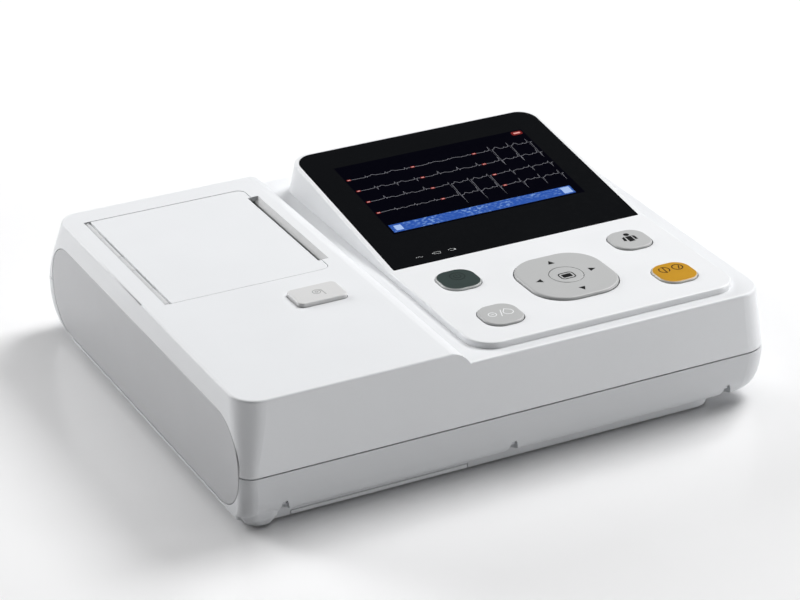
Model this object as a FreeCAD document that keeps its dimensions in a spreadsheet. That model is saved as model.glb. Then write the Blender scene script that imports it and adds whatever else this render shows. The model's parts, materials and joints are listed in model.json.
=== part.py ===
# Portable electrocardiograph: white two-part case with a grey end panel, a drop-in
# roll printer under a hinged door on the left, and a raised keypad and tilted
# display housing on the right.  Millimetres, +Z up, origin at the bottom centre.
import FreeCAD, Part
import Sketcher
import math
import os

doc = FreeCAD.newDocument("ecg")
V3 = FreeCAD.Vector

# --------------------------------------------------------------- dimensions
SHEET = doc.addObject("Spreadsheet::Sheet", "dims")
DIM = {}
ROW = [0]


class E:
    """A length with its value and the sheet expression that gives it."""

    def __init__(self, v, s):
        self.v = float(v)
        self.s = s

    def __add__(self, o):
        o = e(o)
        return E(self.v + o.v, "(%s + %s)" % (self.s, o.s))

    def __radd__(self, o):
        return e(o) + self

    def __sub__(self, o):
        o = e(o)
        return E(self.v - o.v, "(%s - %s)" % (self.s, o.s))

    def __rsub__(self, o):
        return e(o) - self

    def __mul__(self, o):
        o = e(o)
        return E(self.v * o.v, "(%s * %s)" % (self.s, o.s))

    def __rmul__(self, o):
        return e(o) * self

    def __truediv__(self, o):
        o = e(o)
        return E(self.v / o.v, "(%s / %s)" % (self.s, o.s))

    def __neg__(self):
        return E(-self.v, "(0 - %s)" % self.s)


def e(o):
    return o if isinstance(o, E) else E(o, "(%.6f)" % float(o))


def dim(alias, value):
    ROW[0] += 1
    SHEET.set("A%d" % ROW[0], alias)
    SHEET.set("B%d" % ROW[0], "%.6g" % value)
    SHEET.setAlias("B%d" % ROW[0], alias)
    DIM[alias] = E(value, "dims." + alias)


for alias, value in [
    ("case_left", -138.0), ("case_right", 138.0), ("case_front", -115.5), ("case_back", 115.5),
    ("wall", 2.4), ("top_left_z", 65.0), ("top_right_z", 58.5), ("parting_z", 27.5),
    ("parting_gap", 0.7), ("under_z", 4.5), ("plinth_z", 1.2), ("foot_rad", 7.0),
    ("hump_x", -35.0), ("valley_x", -25.4),
    ("door_left", -124.8), ("door_right", -43.7), ("door_front", -10.9), ("door_back", 87.9),
    ("door_thick", 2.4), ("door_gap", 0.35),
    ("hinge_x", -126.3), ("hinge_z", 63.4), ("knuckle_rad", 1.2), ("pin_rad", 0.6), ("run_gap", 0.06),
    ("slot_front", -1.2), ("slot_back", 77.4), ("slot_left", -45.3), ("slot_right", -39.8),
    ("platen_x", -53.0), ("platen_z", 55.5), ("platen_rad", 5.4), ("shaft_rad", 2.0),
    ("panel_left", -17.4), ("panel_right", 121.9), ("panel_front", -107.6), ("panel_back", 89.6),
    ("pad_z", 61.5), ("bend_y", -21.6), ("tilt_deg", 7.707), ("panel_wall", 2.2),
    ("lens_left", -15.5), ("lens_right", 119.8), ("lens_len", 110.6), ("lens_thick", 1.2),
    ("lcd_left", -0.9), ("lcd_right", 106.1), ("lcd_low", 28.4), ("lcd_high", 93.9),
    ("key_half", 10.0), ("key_rad", 7.7), ("key_x_left", 6.5), ("key_x_right", 100.4),
    ("key_y_back", -44.9), ("key_y_front", -85.2), ("key_rise", 1.0), ("key_gap", 0.5), ("nav_rise", 1.3),
    ("nav_x", 53.3), ("nav_y", -64.9), ("nav_half", 22.4), ("nav_rad", 16.4), ("ok_rad", 8.2),
    ("release_x", -62.3), ("release_y", -35.0), ("release_lx", 25.1), ("release_ly", 16.2),
    ("release_rise", 2.0),
    ("end_front", -110.4), ("end_back", 109.2), ("end_low", 6.0), ("end_high", 51.8), ("end_rad", 20.5),
    ("screw_pitch", 115.6), ("screw_mid", -2.2), ("screw_front", -111.4), ("screw_rear", 94.0),
    ("gear_mod", 0.6), ("paper_width", 80.0), ("bay_rad", 28.6), ("board_thick", 1.6),
    ("inlet_x", 68.0), ("inlet_z", 17.2), ("stud_x", 104.0), ("stud_z", 17.5), ("stud_rad", 3.0),
    ("plug_y", -30.0), ("plug_z", 17.5),
]:
    dim(alias, value)
doc.recompute()


def d(alias):
    return DIM[alias]


# --------------------------------------------------------------- helpers
COUNT = [0]


def nm(base):
    COUNT[0] += 1
    return "%s_%d" % (base, COUNT[0])


def bind(obj, prop, x):
    obj.setExpression(prop, e(x).s)


def place(obj, x, y, z, rot=None):
    obj.Placement = FreeCAD.Placement(V3(e(x).v, e(y).v, e(z).v), rot or FreeCAD.Rotation())
    bind(obj, "Placement.Base.x", x)
    bind(obj, "Placement.Base.y", y)
    bind(obj, "Placement.Base.z", z)


def box(x0, x1, y0, y1, z0, z1, name="blk"):
    o = doc.addObject("Part::Box", nm(name))
    x0, x1, y0, y1, z0, z1 = [e(q) for q in (x0, x1, y0, y1, z0, z1)]
    for prop, lo, hi in (("Length", x0, x1), ("Width", y0, y1), ("Height", z0, z1)):
        setattr(o, prop, hi.v - lo.v)
        bind(o, prop, hi - lo)
    place(o, x0, y0, z0)
    return o


ROT = {
    "z": FreeCAD.Rotation(),
    "x": FreeCAD.Rotation(V3(0, 1, 0), 90),
    "y": FreeCAD.Rotation(V3(1, 0, 0), -90),
}


def cyl(axis, x, y, z, r, length, name="cyl"):
    o = doc.addObject("Part::Cylinder", nm(name))
    o.Radius = e(r).v
    o.Height = e(length).v
    bind(o, "Radius", r)
    bind(o, "Height", length)
    place(o, x, y, z, ROT[axis])
    return o


def cone(axis, x, y, z, r1, r2, length, name="cone"):
    o = doc.addObject("Part::Cone", nm(name))
    o.Radius1, o.Radius2, o.Height = e(r1).v, e(r2).v, e(length).v
    bind(o, "Radius1", r1)
    bind(o, "Radius2", r2)
    bind(o, "Height", length)
    place(o, x, y, z, ROT[axis])
    return o


def fuse(parts, name="fuse"):
    o = doc.addObject("Part::MultiFuse", nm(name))
    o.Shapes = parts
    o.Refine = True
    return o


def group(parts, name="group"):
    o = doc.addObject("Part::Compound", nm(name))
    o.Links = parts
    return o


def cut(base, tools, name="cut"):
    tools = tools if isinstance(tools, list) else [tools]
    tool = tools[0] if len(tools) == 1 else fuse(tools, "tool")
    o = doc.addObject("Part::Cut", nm(name))
    o.Base, o.Tool = base, tool
    o.Refine = True
    return o


def common(parts, name="common"):
    o = doc.addObject("Part::MultiCommon", nm(name))
    o.Shapes = parts
    o.Refine = True
    return o


def rr_geometry(sk, x0, x1, y0, y1, rfl, rbl, rbr, rfr):
    """Rounded rectangle with its own radius at each corner, bound to the sheet."""
    x0, x1, y0, y1, rfl, rbl, rbr, rfr = [e(q) for q in (x0, x1, y0, y1, rfl, rbl, rbr, rfr)]
    a, b, c, f = x0.v, x1.v, y0.v, y1.v
    zz = V3(0, 0, 1)

    def arc(cx, cy, r, s):
        return Part.ArcOfCircle(Part.Circle(V3(cx, cy, 0), zz, r), math.radians(s), math.radians(s + 90))

    sk.addGeometry([
        Part.LineSegment(V3(a + rfl.v, c, 0), V3(b - rfr.v, c, 0)),
        arc(b - rfr.v, c + rfr.v, rfr.v, 270),
        Part.LineSegment(V3(b, c + rfr.v, 0), V3(b, f - rbr.v, 0)),
        arc(b - rbr.v, f - rbr.v, rbr.v, 0),
        Part.LineSegment(V3(b - rbr.v, f, 0), V3(a + rbl.v, f, 0)),
        arc(a + rbl.v, f - rbl.v, rbl.v, 90),
        Part.LineSegment(V3(a, f - rbl.v, 0), V3(a, c + rfl.v, 0)),
        arc(a + rfl.v, c + rfl.v, rfl.v, 180)], False)
    C = Sketcher.Constraint
    sk.addConstraint([C("Tangent", i, 2, (i + 1) % 8, 1) for i in range(8)]
                     + [C("Horizontal", 0), C("Vertical", 2), C("Horizontal", 4), C("Vertical", 6)])
    for name, con, val in [
        ("x0", C("DistanceX", -1, 1, 6, 1, a), x0), ("x1", C("DistanceX", -1, 1, 2, 1, b), x1),
        ("y0", C("DistanceY", -1, 1, 0, 1, c), y0), ("y1", C("DistanceY", -1, 1, 4, 1, f), y1),
        ("rfl", C("Radius", 7, rfl.v), rfl), ("rbl", C("Radius", 5, rbl.v), rbl),
        ("rbr", C("Radius", 3, rbr.v), rbr), ("rfr", C("Radius", 1, rfr.v), rfr)]:
        i = sk.addConstraint(con)
        sk.renameConstraint(i, name)
        bind(sk, "Constraints." + name, val)
    return sk


def section(z, x0, x1, y0, y1, rfl, rbl, rbr, rfr):
    sk = doc.addObject("Sketcher::SketchObject", nm("sec"))
    place(sk, 0, 0, z)
    return rr_geometry(sk, x0, x1, y0, y1, rfl, rbl, rbr, rfr)


def loft(sections, ruled=False, name="loft"):
    o = doc.addObject("Part::Loft", nm(name))
    o.Sections = sections
    o.Solid = True
    o.Ruled = ruled
    return o


PLANE = {
    "xy": (FreeCAD.Rotation(), V3(0, 0, 1)),
    "yz": (FreeCAD.Rotation(V3(1, 1, 1), 120), V3(1, 0, 0)),
    "xz": (FreeCAD.Rotation(V3(1, 0, 0), 90), V3(0, -1, 0)),
}


def profile(plane, pts, arcs=None):
    """Closed outline of points in a plane; arcs maps a segment index to its radius."""
    arcs = arcs or {}
    sk = doc.addObject("Sketcher::SketchObject", nm("prof"))
    sk.Placement = FreeCAD.Placement(V3(), PLANE[plane][0])
    pts = [(e(u), e(v)) for u, v in pts]
    n = len(pts)
    C = Sketcher.Constraint
    first = []
    for i in range(n):
        (u0, v0), (u1, v1) = pts[i], pts[(i + 1) % n]
        p, q = V3(u0.v, v0.v, 0), V3(u1.v, v1.v, 0)
        if i in arcs:
            # positive radius: the run bulges to its left; the arc itself is kept anticlockwise
            r = arcs[i]
            half = (q - p).Length / 2.0
            nrm = V3(-(q - p).y, (q - p).x, 0).normalize()
            c = (p + q) * 0.5 - nrm * (math.copysign(1.0, r) * math.sqrt(max(r * r - half * half, 0.0)))
            s, t = (q, p) if r > 0 else (p, q)
            a0 = math.atan2(s.y - c.y, s.x - c.x)
            a1 = math.atan2(t.y - c.y, t.x - c.x)
            if a1 < a0:
                a1 += 2 * math.pi
            sk.addGeometry(Part.ArcOfCircle(Part.Circle(c, V3(0, 0, 1), abs(r)), a0, a1), False)
            first.append(2 if r > 0 else 1)
        else:
            sk.addGeometry(Part.LineSegment(p, q), False)
            first.append(1)
    for i in range(n):
        j = (i + 1) % n
        sk.addConstraint(C("Coincident", i, 3 - first[i], j, first[j]))
        if i in arcs:
            sk.addConstraint(C("Radius", i, abs(arcs[i])))
    for i in range(n):
        u0, v0 = pts[i]
        for name, con, val in (("u%d" % i, C("DistanceX", -1, 1, i, first[i], u0.v), u0),
                               ("v%d" % i, C("DistanceY", -1, 1, i, first[i], v0.v), v0)):
            k = sk.addConstraint(con)
            sk.renameConstraint(k, name)
            bind(sk, "Constraints." + name, val)
    return sk


def extrude(sk, plane, start, length, name="ext"):
    o = doc.addObject("Part::Extrusion", nm(name))
    o.Base = sk
    o.DirMode = "Custom"
    o.Dir = PLANE[plane][1] * (-1 if plane == "xz" else 1)
    o.LengthFwd = e(length).v
    bind(o, "LengthFwd", length)
    o.Solid = True
    axis = {"xy": "z", "yz": "x", "xz": "y"}[plane]
    bind(sk, "Placement.Base." + axis, start)
    return o


def fillet(base, pick, radius, name="fil"):
    """Round every edge that pick accepts; pick may give its own radius."""
    doc.recompute()
    edges = []
    for i, ed in enumerate(base.Shape.Edges):
        r = pick(ed)
        if r:
            r = radius if r is True else r
            edges.append((i + 1, r, r))
    o = doc.addObject("Part::Fillet", nm(name))
    o.Base = base
    o.Edges = edges
    doc.recompute()
    if "Invalid" in o.State or o.Shape.isNull() or not o.Shape.isValid():
        print("  rounding skipped on", base.Name, len(edges), "edges")
        doc.removeObject(o.Name)
        return base
    return o


def body(name):
    return doc.addObject("PartDesign::Body", name)


def origin_plane(b, role):
    return [f for f in b.Origin.OriginFeatures if f.Role == role][0]


def pad_rr(b, x0, x1, y0, y1, r, z0, length, taper=0.0):
    """One more padded rounded rectangle on a body; r is one radius or four."""
    sk = b.newObject("Sketcher::SketchObject", nm("sk"))
    sk.AttachmentSupport = [(origin_plane(b, "XY_Plane"), "")]
    sk.MapMode = "FlatFace"
    sk.AttachmentOffset = FreeCAD.Placement(V3(0, 0, e(z0).v), FreeCAD.Rotation())
    bind(sk, "AttachmentOffset.Base.z", z0)
    rs = r if isinstance(r, (list, tuple)) else [r] * 4
    rr_geometry(sk, x0, x1, y0, y1, *rs)
    p = b.newObject("PartDesign::Pad", nm("pad"))
    p.Profile = sk
    p.Length = e(length).v
    bind(p, "Length", length)
    if taper:
        p.TaperAngle = taper
    b.Tip = p
    return p


def pocket_rr(b, x0, x1, y0, y1, r, z0, length):
    """Pocket of a rounded rectangle going down from z0."""
    sk = b.newObject("Sketcher::SketchObject", nm("sk"))
    sk.AttachmentSupport = [(origin_plane(b, "XY_Plane"), "")]
    sk.MapMode = "FlatFace"
    sk.AttachmentOffset = FreeCAD.Placement(V3(0, 0, e(z0).v), FreeCAD.Rotation())
    bind(sk, "AttachmentOffset.Base.z", z0)
    rs = r if isinstance(r, (list, tuple)) else [r] * 4
    rr_geometry(sk, x0, x1, y0, y1, *rs)
    p = b.newObject("PartDesign::Pocket", nm("pocket"))
    p.Profile = sk
    p.Length = e(length).v
    bind(p, "Length", length)
    b.Tip = p
    return p


def circle_sketch(b, x, y, r, z0):
    sk = b.newObject("Sketcher::SketchObject", nm("sk"))
    sk.AttachmentSupport = [(origin_plane(b, "XY_Plane"), "")]
    sk.MapMode = "FlatFace"
    sk.AttachmentOffset = FreeCAD.Placement(V3(0, 0, e(z0).v), FreeCAD.Rotation())
    bind(sk, "AttachmentOffset.Base.z", z0)
    x, y, r = e(x), e(y), e(r)
    sk.addGeometry(Part.Circle(V3(x.v, y.v, 0), V3(0, 0, 1), r.v), False)
    C = Sketcher.Constraint
    for name, con, val in (("cx", C("DistanceX", -1, 1, 0, 3, x.v), x), ("cy", C("DistanceY", -1, 1, 0, 3, y.v), y),
                           ("cr", C("Radius", 0, r.v), r)):
        k = sk.addConstraint(con)
        sk.renameConstraint(k, name)
        bind(sk, "Constraints." + name, val)
    return sk


def pad_circle(b, x, y, r, z0, length):
    p = b.newObject("PartDesign::Pad", nm("pad"))
    p.Profile = circle_sketch(b, x, y, r, z0)
    p.Length = e(length).v
    bind(p, "Length", length)
    b.Tip = p
    return p


def pocket_circle(b, x, y, r, z0, length):
    p = b.newObject("PartDesign::Pocket", nm("pocket"))
    p.Profile = circle_sketch(b, x, y, r, z0)
    p.Length = e(length).v
    bind(p, "Length", length)
    b.Tip = p
    return p


def round_top(b, z, radius, inside=None):
    """Round the edges of a body that lie wholly at height z."""
    doc.recompute()
    tip = b.Tip
    names = []
    for i, ed in enumerate(tip.Shape.Edges):
        bb = ed.BoundBox
        if abs(bb.ZMin - z) < 1e-3 and abs(bb.ZMax - z) < 1e-3 and (inside is None or inside(bb)):
            names.append("Edge%d" % (i + 1))
    f = b.newObject("PartDesign::Fillet", nm("fil"))
    f.Base = (tip, names)
    f.Radius = radius
    b.Tip = f
    doc.recompute()
    if "Invalid" in f.State or f.Shape.isNull() or not f.Shape.isValid():
        print("  rounding skipped on", b.Label, len(names), f.State)
        b.removeObject(f)
        doc.removeObject(f.Name)
        b.Tip = tip
        doc.recompute()


NODES = []


def node(obj, name):
    obj.Label = name
    NODES.append((name, obj))
    return obj


L, R, F, B = d("case_left"), d("case_right"), d("case_front"), d("case_back")
HL, HR, ZP, ZU = d("top_left_z"), d("top_right_z"), d("parting_z"), d("under_z")
HG = d("parting_gap") / 2
W = d("wall")

# --------------------------------------------------------------- case halves
# Each level: height, right-end and rear setback from the widest plan, front setback, corner radii.
upper_levels = [
    (ZP + HG, 0.0, 0.0, 0.0, 7.0, 2.4, 14.0), (34.0, 0.8, 1.2, 0.12, 8.0, 3.4, 14.0),
    (42.0, 2.1, 3.9, 0.35, 9.5, 5.4, 14.0), (50.0, 3.6, 7.1, 0.6, 11.0, 7.8, 13.5),
    (58.0, 5.2, 10.8, 0.8, 12.0, 9.8, 13.0), (HL, 6.8, 14.4, 1.0, 12.5, 11.2, 12.5)]
lower_levels = [
    (ZU + 1.5, 16.0, 18.5, 5.0, 5.5, 3.0, 11.0), (7.1, 9.5, 12.5, 2.7, 6.0, 2.9, 12.0),
    (9.8, 4.2, 6.7, 0.8, 6.5, 2.8, 13.0), (14.0, 1.4, 2.7, 0.1, 7.0, 2.6, 14.0),
    (19.5, 0.2, 0.5, 0.0, 7.0, 2.4, 14.0), (ZP - HG, 0.0, 0.0, 0.0, 7.0, 2.4, 14.0)]


def shell_outer(levels):
    secs = []
    for z, dr, db, df, rfl, rbl, rr in levels:
        secs.append(section(z, L, R - dr, F + df, B - db, rfl, rbl, rr, rr))
    return loft(secs)


upper_outer = shell_outer(upper_levels)
lower_outer = shell_outer(lower_levels)

# step from the printer platform down to the keypad side
step = extrude(profile("xz", [(d("hump_x"), HL + 6), (d("hump_x"), HL), (d("valley_x"), HR), (R + 10, HR), (R + 10, HL + 6)],
                       {1: 13.0}), "xz", F - 10, B - F + 20)
upper_block = cut(upper_outer, step, "upper_block")


def top_edges(ed):
    bb = ed.BoundBox
    flat = bb.ZMax - bb.ZMin < 0.02
    mx, my = (bb.XMin + bb.XMax) / 2, (bb.YMin + bb.YMax) / 2
    if flat and abs(bb.ZMax - HL.v) < 0.05 and not abs(mx - d("hump_x").v) < 0.5:
        return 2.4 if my > 85 and mx > -124 else 1.1
    if flat and abs(bb.ZMax - HR.v) < 0.05 and not abs(mx - d("valley_x").v) < 0.5:
        return 1.1 if my < -100 and mx < 118 else 2.4
    return False


upper_round = fillet(upper_block, lambda ed: 1.1 if top_edges(ed) else False, 1.1, "upper_round")

cav_u1 = loft([section(ZP - 2, L + W + 0.4, R - 4.6, F + W + 0.3, B - 6.5, 7, 7, 11, 11),
               section(42.0, L + W + 0.4, R - 4.8, F + W + 0.6, B - 6.8, 7, 7, 11, 11)], True)
cav_u2 = loft([section(41.9, L + W + 0.4, R - 6.4, F + W + 0.9, B - 10.0, 8, 8, 10, 10),
               section(HR - W, L + W + 0.4, R - 8.2, F + W + 1.0, B - 14.0, 9, 9, 10, 10)], True)
cav_u3 = loft([section(HR - W - 0.1, L + W + 0.4, d("hump_x") - 3.2, F + W + 1.2, B - 14.5, 9, 9, 2, 2),
               section(HL - W, L + W + 0.4, d("hump_x") - 4.2, F + W + 1.3, B - 17.2, 9, 9, 2, 2)], True)
upper_hollow = cut(upper_round, [cav_u1, cav_u2, cav_u3], "upper_hollow")

# openings in the upper half
door_hole = extrude(profile("xy", [
    (d("hinge_x") - 1.9, d("door_front") - d("door_gap")), (d("door_right") + d("door_gap"), d("door_front") - d("door_gap")),
    (d("door_right") + d("door_gap"), d("slot_front") - 0.3), (d("slot_right"), d("slot_front") - 0.3),
    (d("slot_right"), d("slot_back") + 0.3), (d("door_right") + d("door_gap"), d("slot_back") + 0.3),
    (d("door_right") + d("door_gap"), d("door_back") + d("door_gap")), (d("hinge_x") - 1.9, d("door_back") + d("door_gap"))]),
    "xy", 52.0, 20.0)
door_hole = fillet(door_hole, lambda ed: 4.3 if (ed.BoundBox.ZLength > 10 and abs(ed.BoundBox.XMin - d("door_right").v - 0.35) < 0.1
                                                 and (ed.BoundBox.YMin < -8 or ed.BoundBox.YMin > 85)) else False, 4.3)
rel_x, rel_y = d("release_x"), d("release_y")
rel_hole_b = body("release_hole")
pad_rr(rel_hole_b, rel_x - d("release_lx") / 2 - 0.4, rel_x + d("release_lx") / 2 + 0.4,
       rel_y - d("release_ly") / 2 - 0.4, rel_y + d("release_ly") / 2 + 0.4, 3.4, 58.0, 12.0)
keypad_hole = box(d("panel_left") + 5.5, d("panel_right") - 5.5, d("panel_front") + 5.5, d("panel_back") - 3.0, 50, 70)


def end_plate(inset, x0, x1):
    sk = doc.addObject("Sketcher::SketchObject", nm("endsk"))
    sk.Placement = FreeCAD.Placement(V3(), PLANE["yz"][0])
    rr_geometry(sk, d("end_front") + inset, d("end_back") - inset, d("end_low") + inset, d("end_high") - inset,
                d("end_rad") - inset, d("end_rad") + 1.0 - inset, d("end_rad") + 2.0 - inset, d("end_rad") - inset)
    return extrude(sk, "yz", x0, e(x1) - e(x0))


# the end panel sits in a rebate of both halves, with a window behind it
end_rebate = end_plate(-0.25, L - 2, L + 2.2)
end_window = end_plate(6.0, L - 2, L + 6)

# screw bosses of the upper half
screw_xs = [d("screw_mid") - d("screw_pitch"), d("screw_mid"), d("screw_mid") + d("screw_pitch")]
screw_pts = [(x, d("screw_front")) for x in screw_xs] + [(x, d("screw_rear")) for x in
                                                         (d("screw_mid") - d("screw_pitch"), d("screw_mid") - 24.8, d("screw_mid") + d("screw_pitch"))]
bosses_u = [cyl("z", x, y, ZP + HG, 3.4, 14.5) for x, y in screw_pts]
boss_tie_u = [box(x - 1.0, x + 1.0, F + 1.6, y, ZP + HG, 40.0) for x, y in screw_pts[:3]]
rear_tie_u = [box(x - 1.0, x + 1.0, y, B - 5.5, ZP + HG, 40.0) for x, y in screw_pts[3:]]
pilots = [cyl("z", x, y, ZP, 1.5, 14.0) for x, y in screw_pts]
upper_open = cut(upper_hollow, [door_hole, rel_hole_b, keypad_hole, end_rebate, end_window], "upper_open")
inlet_top = box(d("inlet_x") - 15.3, d("inlet_x") + 15.3, B - 9.5, B + 2, ZP - 1, ZP + HG + 0.2)
upper_case = cut(fuse([upper_open] + bosses_u + boss_tie_u + rear_tie_u), pilots + [inlet_top], "upper_case")
node(upper_case, "upper_case")

# ---- lower half
cav_l1 = loft([section(ZU + 2.6, L + W + 0.4, R - 14.5, F + 6.5, B - 17.0, 5, 5, 10, 10),
               section(12.0, L + W + 0.4, R - 6.0, F + 3.2, B - 8.0, 5, 5, 10, 10)], True)
cav_l2 = loft([section(11.9, L + W + 0.4, R - 5.2, F + 3.0, B - 7.2, 5, 5, 11, 11),
               section(ZP + 1, L + W + 0.4, R - 2.8, F + W + 0.4, B - 3.0, 6, 6, 11, 11)], True)
plinth_b = body("plinth")
pad_rr(plinth_b, L + 5.0, R - 27.5, F + 6.7, B - 22.0, [9.0, 9.0, 10.0, 10.0], d("plinth_z"), ZU - d("plinth_z") + 2.1)
base_b = body("base_block")
pad_rr(base_b, L, R - 27.5, F + 6.7, B - 22.0, [3.0, 9.0, 10.0, 10.0], ZU, 2.2)
corner_foot = loft([section(d("plinth_z"), L + 4.4, L + 17.0, F + 3.9, F + 22.0, 6.2, 4.0, 4.0, 5.0),
                    section(5.0, L + 1.7, L + 20.0, F + 1.9, F + 27.0, 6.4, 4.0, 4.0, 7.0),
                    section(9.4, L + 0.4, L + 22.4, F + 1.05, F + 31.0, 6.6, 4.0, 4.0, 8.0)], True)
corner_foot = cut(corner_foot, [cyl("z", d("screw_mid") - d("screw_pitch"), q, -1.0, 2.95, 13.6) for q in (d("screw_front"), F + 2.9)])
foot_pts = [(-125.4, -103.2), (100.0, -98.0), (-126.0, 84.0), (100.0, 84.0)]
corner_pads = [corner_foot, cyl("z", -126.0, 84.0, d("plinth_z"), 8.6, ZU - d("plinth_z") + 1.6)]
tongue = cut(loft([section(ZP - 3.0, L + W + 0.6, R - 5.0, F + W + 0.75, B - 6.9, 6, 6, 11, 11),
                   section(ZP + 1.6, L + W + 0.6, R - 5.0, F + W + 0.75, B - 6.9, 6, 6, 11, 11)], True),
             loft([section(ZP - 4.0, L + W + 1.8, R - 6.2, F + W + 1.95, B - 8.1, 5, 5, 10, 10),
                   section(ZP + 2.6, L + W + 1.8, R - 6.2, F + W + 1.95, B - 8.1, 5, 5, 10, 10)], True))
tongue = cut(tongue, [box(x - 4.0, x + 4.0, F, -106.0, ZP - 4, ZP + 3) for x, y in screw_pts[:3]]
             + [box(x - 1.5, x + 1.5, 100.0, B, ZP - 4, ZP + 3) for x, y in screw_pts[3:]])
shelf = cut(loft([section(ZP - 4.6, L + 1.2, R - 1.2, F + 1.2, B - 1.2, 6, 6, 11, 11),
                  section(ZP - HG - 0.3, L + 1.2, R - 1.2, F + 1.2, B - 1.2, 6, 6, 11, 11)], True),
            loft([section(ZP - 5.0, L + W + 1.8, R - 6.2, F + W + 1.95, B - 8.1, 5, 5, 10, 10),
                  section(ZP + 2.6, L + W + 1.8, R - 6.2, F + W + 1.95, B - 8.1, 5, 5, 10, 10)], True))
lower_bosses = [cyl("z", x, y, ZU + 1.0, 5.0, ZP - HG - ZU - 1.0) for x, y in screw_pts]
lower_bosses = common([fuse(lower_bosses), lower_outer])
board_posts = [cyl("z", x, y, ZU + 1.5, 3.0, 8.5) for x, y in ((-12.0, -88.0), (114.0, -88.0), (-12.0, 52.0), (114.0, 52.0))]
supply_posts = [cyl("z", x, y, ZU + 1.5, 3.0, 6.5) for x, y in ((-14.0, 66.0), (46.0, 66.0), (-14.0, 92.0), (46.0, 92.0))]
bay_posts = [box(x, x + 6.0, y, y + 6.0, ZU + 1.5, 12.0) for x in (-110.0, -80.0) for y in (0.0, 60.0)]
lower_shell = cut(lower_outer, [cav_l1, cav_l2], "lower_shell")
bossed = fuse([lower_shell, lower_bosses], "bossed")
# the three front wells open at the foot of the wall, in front of the plinth
wells = [cyl("z", x, q, -1.0, 2.95, 13.6) for x, y in screw_pts[:3] for q in (y, F + 2.9)]
rear_wells = [cyl("z", x, y, -1.0, 4.1, 9.4) for x, y in screw_pts[3:]] + [cyl("z", x, y, 7.0, 2.95, 5.6) for x, y in screw_pts[3:]]
holes_l = [cyl("z", x, y, 5.0, 1.7, 30.0) for x, y in screw_pts]
batt_x0, batt_x1, batt_y0, batt_y1 = -112.6, -22.8, F + 6.0, -41.0
batt_recess = box(batt_x0, batt_x1, batt_y0, batt_y1, 0, 3.35)
inlet_cut = box(d("inlet_x") - 15.2, d("inlet_x") + 15.2, B - 32.0, B + 5, d("inlet_z") - 10.2, ZP + 4)
# the mains socket sits back in a pocket of the curved rear wall
inlet_fill = common([box(d("inlet_x") - 17.6, d("inlet_x") + 17.6, B - 26.0, B + 2, ZU + 1.5, ZP - HG), lower_outer])
stud_pocket = cyl("y", d("stud_x"), B - 9.5, d("stud_z"), 9.0, 20.0)
stud_hole = cyl("y", d("stud_x"), B - 20.0, d("stud_z"), 2.05, 30.0)
plug_cut = box(R - 9.5, R + 5, d("plug_y") - 20.4, d("plug_y") + 20.4, d("plug_z") - 7.0, d("plug_z") + 7.0)
plug_ring = box(R - 12.0, R - 2.5, d("plug_y") - 22.4, d("plug_y") + 22.4, d("plug_z") - 9.0, d("plug_z") + 9.0)
plug_through = [box(R - 14.0, R - 9.0, d("plug_y") - 13.3, d("plug_y") + 13.3, d("plug_z") - 5.2, d("plug_z") + 5.2)]
plug_through += [cyl("x", R - 14.0, d("plug_y") + q * 16.65, d("plug_z"), 1.5, 6.0) for q in (-1, 1)]
stud_fill = common([cyl("y", d("stud_x"), B - 11.5, d("stud_z"), 10.6, 14.0), lower_outer])
plug_fill = common([plug_ring, lower_outer])
foot_sockets = [cyl("z", x, y, 0, d("foot_rad") + 0.1, d("plinth_z") + 0.8) for x, y in foot_pts]
cover_screw_pts = [(-100.0, -47.5), (-36.0, -47.5)]
cover_bosses = [cyl("z", x, y, 3.4, 4.5, 9.0) for x, y in cover_screw_pts]
cover_pilots = [cyl("z", x, y, 0.0, 1.25, 10.5) for x, y in cover_screw_pts]
batt_walls = cut(box(batt_x0 + 2.4, batt_x1 - 2.4, batt_y0 + 4.4, batt_y1 - 11.0, ZU + 1, 20.0),
                 box(batt_x0 + 4, batt_x1 - 4, batt_y0 + 6.0, batt_y1 - 12.6, ZU, 21.0))
lower_full = fuse([cut(bossed, wells), plinth_b, base_b, tongue, shelf] + corner_pads + board_posts + supply_posts + bay_posts, "lower_full")
lower_fuse2 = fuse([lower_full, stud_fill, plug_fill, inlet_fill, batt_walls] + cover_bosses, "lower_fuse2")
batt_bay2 = box(batt_x0 + 4, batt_x1 - 4, batt_y0 + 6.0, batt_y1 - 12.6, 0, 12.0)
lower_case = cut(lower_fuse2, rear_wells + holes_l + foot_sockets + cover_pilots
                 + [batt_recess, batt_bay2, inlet_cut, stud_pocket, stud_hole, plug_cut] + plug_through + [end_rebate, end_window], "lower_case")
node(lower_case, "lower_case")

# ---- end panel, battery cover, feet, screws
end_panel = fillet(end_plate(0.0, L - 0.02, L + 2.1), lambda ed: 0.5 if abs(ed.BoundBox.XMax - L.v) < 0.05 and ed.BoundBox.XLength < 0.01 else False, 0.5)
hook_a = box(L + 2.0, L + 5.0, -90.0, -80.0, 13.5, 24.5)
hook_b = box(L + 2.0, L + 5.0, 75.0, 85.0, 13.5, 24.5)
node(fuse([end_panel, hook_a, hook_b], "end_panel"), "end_panel")

cover_b = body("battery_cover_body")
pad_rr(cover_b, batt_x0 + 0.3, batt_x1 - 0.3, e(batt_y0) + 0.75, batt_y1 - 0.3, 0.6, d("plinth_z"), 1.8)
for x, y in cover_screw_pts:
    pocket_circle(cover_b, x, y, 3.1, 2.0, 3.0)
    pocket_circle(cover_b, x, y, 1.65, 5.0, 6.0)
for i in range(5):
    pocket_rr(cover_b, -80.0, -55.0, -64.0 + 4.0 * i, -62.4 + 4.0 * i, 0.7, d("plinth_z") + 0.7, 2.0)
node(cover_b, "battery_cover")

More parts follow.
